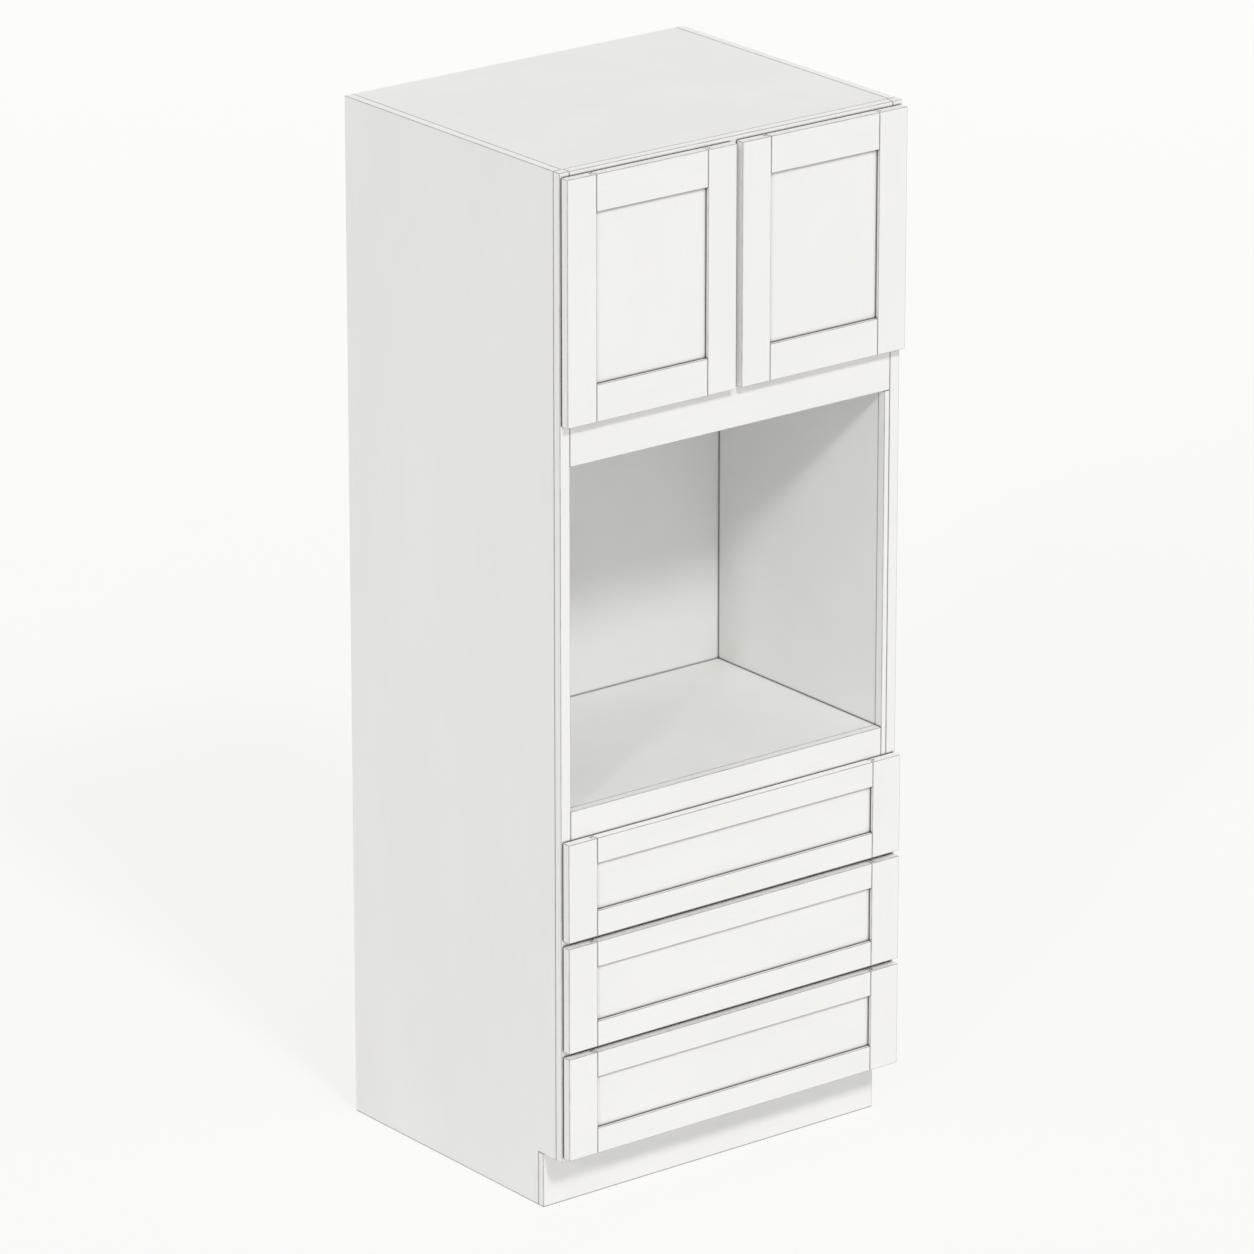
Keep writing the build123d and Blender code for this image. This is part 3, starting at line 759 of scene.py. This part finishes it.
# %% [markdown]
# The inner member of each slide is screwed to its drawer box from inside its own channel, with three
# screws along its length. They are too small to matter in the solid model, so they are added here.

# %% Screws in the inner slide members
MEMBER_SCREWS_ALONG, MEMBER_SCREW_LENGTH, WEB_THICKNESS = (0.08, 0.45, 0.90), 10.0, 1.2
for name in drawers:
    shapes = []
    for hand, near, _, front, rear_y, level in paired(f"drawer_{name}_slide_inner_members"):
        for share in MEMBER_SCREWS_ALONG:
            seat = (near + hand * WEB_THICKNESS * MM, front + share * (rear_y - front), level)
            shapes.append(pan_head_screw(seat, (-hand, 0.0, 0.0), MEMBER_SCREW_LENGTH))
    surfaced(f"drawer_{name}_member_screws", shapes, [zinc_screw], "drawer_" + name)
print("screws per drawer", len(shapes))

# %% [markdown]
# Bumpers are small clear domes, stuck on the face frame where the doors and drawer fronts land. The model
# has them as discs, and a quarter of an ellipse turned about the same axis gives the dome.

# %% Clear bumpers
rise = np.linspace(0, np.pi / 2, 9)
domes = []
for island in islands("front_bumpers"):
    low, high = island.min(0), island.max(0)
    width, height = (high - low)[0] / 2 / MM, (high - low)[1] / MM
    start = ((low[0] + high[0]) / 2, high[1], (low[2] + high[2]) / 2)
    radii = np.concatenate([[0.0], width * np.cos(rise)])
    heights = np.concatenate([[0.0], height * np.sin(rise)])
    domes.append(turned(radii, heights, start, (0.0, -1.0, 0.0)))
surfaced("clear_bumper_domes", domes, [polyurethane], "carcass", ("front_bumpers",))
print("bumpers", len(domes))

# %% [markdown]
# ## Hinge cups
# A concealed hinge sits in a round recess in the door. Its cup is deep-drawn from sheet, so the bottom
# corner is round and the mouth rolls over into a thin lip. A flange with two ears takes the screws. The
# outline of the flange is the line that a string would take round three discs, the mouth and the two
# ears: in each direction, the disc that reaches furthest gives the point.

# %% Shape of a cup and its flange
CUP_RADIUS, CUP_DEPTH, CUP_CORNER, SHEET = 17.4, 11.4, 4.5, 1.0
EAR_OFFSET, EAR_RISE, EAR_RADIUS, MOUTH_RADIUS = 6.0, 24.0, 6.5, 18.4
# Radius and height of each ring, over the rolled lip and down the inside of the wall.
LIP = [(CUP_RADIUS, 0.0), (MOUTH_RADIUS, 0.02), (MOUTH_RADIUS, 1.0), (18.0, 1.3), (17.1, 1.3)]
LIP += [(16.6, 0.9), (CUP_RADIUS - SHEET, -6.0)]
BORE_RADIUS, FLANGE_BACK, FLANGE_SHOULDER, FLANGE_FACE = 17.0, 0.05, 0.9, 1.1
SHOULDER_SHARE = 0.985


def drawn_cup(centre):
    """The cup as rings: up the outside, over the lip, and down the inside one sheet thickness in. Each
    corner is a quarter circle, centre + radius * (sin t, -cos t)."""
    turn = np.linspace(0, np.pi / 2, 6)
    quarter = np.stack([np.sin(turn), -np.cos(turn)], axis=-1)
    corner = np.array((CUP_RADIUS - CUP_CORNER, CUP_CORNER - CUP_DEPTH))
    outside = [[(0.0, -CUP_DEPTH)], corner + CUP_CORNER * quarter]
    inside = [corner + (CUP_CORNER - SHEET) * quarter[::-1], [(0.0, SHEET - CUP_DEPTH)]]
    radii, heights = np.concatenate([*outside, LIP, *inside]).T
    return turned(radii, heights, centre, (0.0, 1.0, 0.0))


def eared_flange(centre, offset):
    """A band from the mouth to the string line round the mouth and two ears, about 1 mm thick."""
    circle = np.stack([np.cos(angles), np.sin(angles)], axis=-1)
    ears = [(offset, EAR_RISE, EAR_RADIUS), (offset, -EAR_RISE, EAR_RADIUS)]
    discs = np.array([(0.0, 0.0, MOUTH_RADIUS), *ears])
    reach = circle @ discs[:, :2].T + discs[:, 2]
    furthest = discs[reach.argmax(axis=1)]
    outline = furthest[:, :2] + furthest[:, 2:] * circle
    bore, shoulder = circle * BORE_RADIUS, outline * SHOULDER_SHARE
    outer = [(outline, FLANGE_BACK), (outline, FLANGE_SHOULDER), (shoulder, FLANGE_FACE)]
    rows = [(bore, FLANGE_BACK), *outer, (bore, FLANGE_FACE)]
    flat = [np.stack([loop[:, 0], np.full(TURNS, height), loop[:, 1]], axis=-1) for loop, height in rows]
    return np.array(centre) + np.concatenate(flat) * MM, ring_faces(len(rows), TURNS, closed=True)


print("cup", 2 * MOUTH_RADIUS, "mm across its lip")

# %% Cups and their screws
# The box of the solid cups starts at their bottoms, and its top and foot are the ends of the flanges.
SOLID_CUP_DEPTH, HALF_FLANGE, CUP_SCREW_LENGTH = 11.5, 29.0, 11.0
for side in sides:
    low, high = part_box(f"door_{side}_hinge_cups")
    offset = EAR_OFFSET if side == "left" else -EAR_OFFSET
    cup_x, door_back = (low.x + high.x) / 2, low.y + SOLID_CUP_DEPTH * MM
    shapes, cup_screws = [], []
    for level in (low.z + HALF_FLANGE * MM, high.z - HALF_FLANGE * MM):
        centre = (cup_x, door_back, level)
        shapes += [drawn_cup(centre), eared_flange(centre, offset)]
        for rise in (-EAR_RISE, EAR_RISE):
            seat = (cup_x + offset * MM, door_back + FLANGE_FACE * MM, level + rise * MM)
            cup_screws.append(pan_head_screw(seat, (0.0, -1.0, 0.0), CUP_SCREW_LENGTH))
    body = "door_" + side
    surfaced(body + "_drawn_cups", shapes, [nickel], body, (body + "_hinge_cups",))
    surfaced(body + "_cup_screws", cup_screws, [zinc_screw], body)
print("screws per door", len(cup_screws))

# %% [markdown]
# On each hinge arm two small screws adjust the door sideways and in depth. Their heads show when a door
# stands open. They are turned like the other screws, only shorter.

# %% Adjusting screws on the hinge arms
ADJUSTERS_BEHIND, ADJUSTER_LENGTH = (20, 38), 4.0
shapes = []
for hand, near, _, front, _, level in paired("hinge_arms"):
    for behind in ADJUSTERS_BEHIND:
        seat = (near, front + behind * MM, level)
        shapes.append(pan_head_screw(seat, (hand, 0.0, 0.0), ADJUSTER_LENGTH))
surfaced("hinge_adjusting_screws", shapes, [zinc_screw], "carcass")
print("adjusting screws", len(shapes))

# %% [markdown]
# ## Balls in the slides
# Two rows of steel balls run above and below each pair of slide members, held apart by a thin cage. They
# are drawn only over the length where the members still overlap when the drawer is fully out: the front
# half of the outer member for one race, and the front half of the middle member for the other. A race
# rides with the outer of its two members. A ball is a half circle turned about its axis, with few faces
# because there are hundreds of balls.

# %% One ball race
BALL_RADIUS, BALL_PITCH, BALL_COUNT = 1.1, 14.0, 17
# The cage reaches this far past its first and last ball.
CAGE_MARGIN, CAGE_HALF_WIDTH, CAGE_HALF_THICKNESS = 12.0, 1.6, 0.25
polar = np.linspace(0, np.pi, 7)[:, None]
around = np.linspace(0, 2 * np.pi, 10, endpoint=False)[None, :]
ball_sides = (np.sin(polar) * np.cos(around), np.sin(polar) * np.sin(around), np.cos(polar) + 0 * around)
unit_ball = np.stack(ball_sides, axis=-1).reshape(-1, 3)


def box_shape(low, high):
    """The six faces of a thin bar between two corners, in metres."""
    share = np.array([(x, y, z) for x in (0, 1) for y in (0, 1) for z in (0, 1)], float)
    points = np.array(low) + share * (np.array(high) - np.array(low))
    return points, [[0, 1, 3, 2], [4, 6, 7, 5], [0, 4, 5, 1], [2, 3, 7, 6], [0, 2, 6, 4], [1, 5, 7, 3]]


def race(x, front, level, rise_mm):
    """Balls at an even pitch above and below the slide's middle line, with the cage through them."""
    shapes = []
    faces = ring_faces(polar.size, around.size)
    wide, thin = CAGE_HALF_WIDTH * MM, CAGE_HALF_THICKNESS * MM
    cage_end = front + (2 * CAGE_MARGIN + (BALL_COUNT - 1) * BALL_PITCH) * MM
    for row in (level - rise_mm * MM, level + rise_mm * MM):
        for index in range(BALL_COUNT):
            centre = np.array((x, front + (CAGE_MARGIN + index * BALL_PITCH) * MM, row))
            shapes.append((centre + unit_ball * BALL_RADIUS * MM, faces))
        shapes.append(box_shape((x - wide, front, row - thin), (x + wide, cage_end, row + thin)))
    return shapes


print("a ball has", len(unit_ball), "points before its poles are merged")

# %% Ball races of all the slides
RACE_START = 2.0
OUTER_RACE_DEPTH, OUTER_RACE_RISE = 7.0, 20.1
INNER_RACE_SHIFT, INNER_RACE_RISE = 0.9, 16.5
outer_races = []
for hand, _, far, front, _, level in paired("slide_outer_members"):
    x = far - hand * OUTER_RACE_DEPTH * MM
    outer_races += race(x, front + RACE_START * MM, level, OUTER_RACE_RISE)
surfaced("outer_ball_races", outer_races, [zinc], "carcass")
for name in drawers:
    inner_races = []
    for hand, near, far, front, _, level in paired(f"drawer_{name}_slide_middle_members"):
        x = (near + far) / 2 - hand * INNER_RACE_SHIFT * MM
        inner_races += race(x, front + RACE_START * MM, level, INNER_RACE_RISE)
    body = f"drawer_{name}_slide_middle"
    surfaced(f"drawer_{name}_ball_races", inner_races, [zinc], body)
print("rows of balls", 2 * len(outer_races) // (BALL_COUNT + 1))

# %% [markdown]
# ## Staples in the back
# The back panel is stapled to the boards that it covers, with one row along the middle of the cupboard
# floor, the deck and the bottom and two in each nailer, which is taller. A staple is one flat wire, bent
# at two round shoulders, and only its crown shows. It could be a small box, but the shoulders are what
# catches the light, so the wire's section is carried along the bent path. Each row of four points is one
# section.

# %% Shape of a staple
STAPLE_REACH, SHOULDER, LEG, WIRE_WIDTH, WIRE_THICKNESS, PROUD = 6.0, 1.5, 12.0, 1.4, 0.8, 0.3


def staple(x, z, rear_y):
    """Leg, shoulder, crown, shoulder, leg: quarter circles join the straight lines of the path."""
    turn = np.linspace(0, np.pi / 2, 4)
    rise, sink = STAPLE_REACH - SHOULDER * (1 - np.cos(turn)), SHOULDER * (1 - np.sin(turn))
    path_x = np.concatenate([[-STAPLE_REACH], -rise, rise[::-1], [STAPLE_REACH]])
    path_depth = np.concatenate([[LEG], sink, sink[::-1], [LEG]])
    run_x, run_depth = np.gradient(path_x), np.gradient(path_depth)
    length = np.hypot(run_x, run_depth)
    inward_x, inward_depth = -run_depth / length, run_x / length
    rows = []
    for inward, side in [(0, -0.5), (0, 0.5), (1, 0.5), (1, -0.5)]:
        wire_x = path_x + inward * WIRE_THICKNESS * inward_x
        wire_y = PROUD - path_depth - inward * WIRE_THICKNESS * inward_depth
        rows.append(np.stack([wire_x, wire_y, np.full(len(path_x), side * WIRE_WIDTH)], axis=-1))
    points = np.array((x, rear_y, z)) + np.stack(rows, axis=1).reshape(-1, 3) * MM
    last = 4 * (len(path_x) - 1)
    ends = np.array([[0, 1, 2, 3], [last + 3, last + 2, last + 1, last]])
    return points, np.concatenate([ring_faces(len(path_x), 4), ends])


print("crown", 2 * STAPLE_REACH, "mm wide")

# %% Rows of staples
STAPLES_PER_ROW, ROW_MARGIN, NAILER_ROW_RISE = 8, 16.0, 35.0
back_low, back_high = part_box("back_panel")
thin_boards = ("cupboard_floor", "oven_deck", "bottom_panel")
levels = [sum(corner.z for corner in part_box(board)) / 2 for board in thin_boards]
for nailer in islands("wall_nailers"):
    middle = (nailer[:, 2].min() + nailer[:, 2].max()) / 2
    levels += [middle - NAILER_ROW_RISE * MM, middle + NAILER_ROW_RISE * MM]
row_x = np.linspace(back_low.x + ROW_MARGIN * MM, back_high.x - ROW_MARGIN * MM, STAPLES_PER_ROW)
staples = [staple(x, level, back_high.y) for level in levels for x in row_x]
surfaced("back_panel_staples", staples, [zinc_screw], "carcass")
print("staples", len(staples), "in", len(levels), "rows")

# %% [markdown]
# ## Floor, lamps and camera
# The drawing stands on plain near-white paper, so the cabinet stands on a plain pale floor that runs far
# past the picture, under a pale sky of the same tone. The floor could be made whiter with more lamps, but
# these would wash out the white paint. So the floor and the sky show part of their paper white directly
# to the camera, and to mirrors and glass, while the light that reaches the cabinet stays as it is.

# %% Paper white for the floor and the sky
PAPER = linear("#FEFEFD")


def seen_directly(tree):
    """1 for rays from the camera, a reflection or glass, and 0 for light that falls on the cabinet."""
    rays = add(tree, "LightPath").outputs
    larger = {"operation": "MAXIMUM"}
    shiny = {0: rays["Is Glossy Ray"], 1: rays["Is Transmission Ray"]}
    either = {0: rays["Is Camera Ray"], 1: add(tree, "Math", larger, shiny).outputs[0]}
    return add(tree, "Math", larger, either).outputs[0]


print("paper", PAPER)

# %% [markdown]
# The floor is one large square of matt studio paint. Near the cabinet it keeps a fifth of its own look,
# which holds the shadow, and far away it turns wholly to paper, so that no line shows where it meets the
# sky. A curved backdrop would hide that line too, but only from one side.

# %% Floor
FLOOR_REACH, NEAR, FAR, NEAR_SHARE = 60.0, 3.0, 12.0, 0.8
corners = [(x * FLOOR_REACH, y * FLOOR_REACH, 0) for x, y in ((-1, -1), (1, -1), (1, 1), (-1, 1))]
floor_mesh = bpy.data.meshes.new("studio_floor")
floor_mesh.from_pydata(corners, [], [(0, 1, 2, 3)])
floor = placed("studio_floor", floor_mesh)
matt = {"IOR": 1.5, "Specular_IOR_Level": 0.1, "Roughness": 0.85}
material, tree, surface, place = start_material("matt_studio_floor", **matt)
dust = fibres(tree, place, "x", cell_mm=(900, 900), detail=2.0)
paint = stained(tree, "#F4F4F3", "#F1F1F0", dust, low=0.3, high=0.7)
tree.links.new(paint, surface.inputs["Base Color"])
from_middle = add(tree, "VectorMath", {"operation": "LENGTH"}, {0: place}).outputs["Value"]
limits = {"From Min": NEAR, "From Max": FAR, "To Min": NEAR_SHARE, "To Max": 1.0}
paper_share = add(tree, "MapRange", inputs={"Value": from_middle, **limits}).outputs[0]
seen = {0: seen_directly(tree), 1: paper_share}
share = add(tree, "Math", {"operation": "MULTIPLY"}, seen).outputs[0]
glow = add(tree, "Emission", inputs={"Color": PAPER})
both = add(tree, "MixShader", inputs={0: share, 1: surface.outputs[0], 2: glow.outputs[0]})
output = next(item for item in tree.nodes if item.type == "OUTPUT_MATERIAL")
tree.links.new(both.outputs[0], output.inputs["Surface"])
floor_mesh.materials.append(material)
print("floor", 2 * FLOOR_REACH, "m square")

# %% [markdown]
# A broad lamp stands in front and high up. It is far away, so it lights the top of the cabinet as evenly
# as the bottom: the front and the top get most and the left side least, which tells the faces apart. Its
# disc is a few degrees wide, so the shadows in the door recesses stay soft. A weaker lamp far to the left
# skims across the front, so that the left edge of each recess also throws a thin shadow that the camera
# can see. The sky and the bounce from the floor fill the rest.

# %% Lamps and sky
SKY_STRENGTH = 0.61


def distant_lamp(name, towards, energy, width_degrees):
    """A lamp so far away that its rays are parallel, turned so that it shines from the given direction."""
    lamp = bpy.data.lights.new(name, "SUN")
    lamp.energy = energy
    lamp.angle = math.radians(width_degrees)
    x, y, z = towards
    turned_down = math.atan2(math.hypot(x, y), z)
    placed(name, lamp).rotation_euler = (turned_down, 0, math.atan2(-y, -x) - math.pi / 2)


distant_lamp("broad_front_lamp", towards=(-0.15, -0.70, 0.70), energy=1.12, width_degrees=9)
distant_lamp("skimming_left_lamp", towards=(-0.78, -0.46, 0.43), energy=0.42, width_degrees=5)
world = bpy.data.worlds.new("studio_sky")
world.use_nodes = True
tree = world.node_tree
tree.nodes.clear()
sky = add(tree, "Background", inputs={"Color": linear("#F7F8F9"), "Strength": SKY_STRENGTH})
paper = add(tree, "Background", inputs={"Color": PAPER})
choice = {0: seen_directly(tree), 1: sky.outputs[0], 2: paper.outputs[0]}
either = add(tree, "MixShader", inputs=choice)
add(tree, "OutputWorld", inputs={"Surface": either.outputs[0]})
bpy.context.scene.world = world
print("sky strength", SKY_STRENGTH)

# %% [markdown]
# The camera was fitted to the drawing: its place and lens were solved so that the cabinet's corners land
# where the drawing has them. The drawing keeps its uprights parallel, which a tilted camera can't do, so
# a long lens from far away keeps them nearly so.

# %% Camera
camera_data = bpy.data.cameras.new("drawing_view")
camera_data.lens = 237.7
camera_data.sensor_width = 36.0
camera_data.clip_end = 200.0
camera = placed("drawing_view", camera_data)
camera.location = (-9.5125, -12.2211, 6.4974)
turn, tilt = math.radians(37.90), math.radians(19.39)
camera.rotation_euler = (math.pi / 2 - tilt, 0, -turn)
bpy.context.scene.camera = camera
bpy.context.scene.view_settings.view_transform = "Standard"
print("camera", round(camera.location.length, 1), "m away, lens", camera_data.lens, "mm")
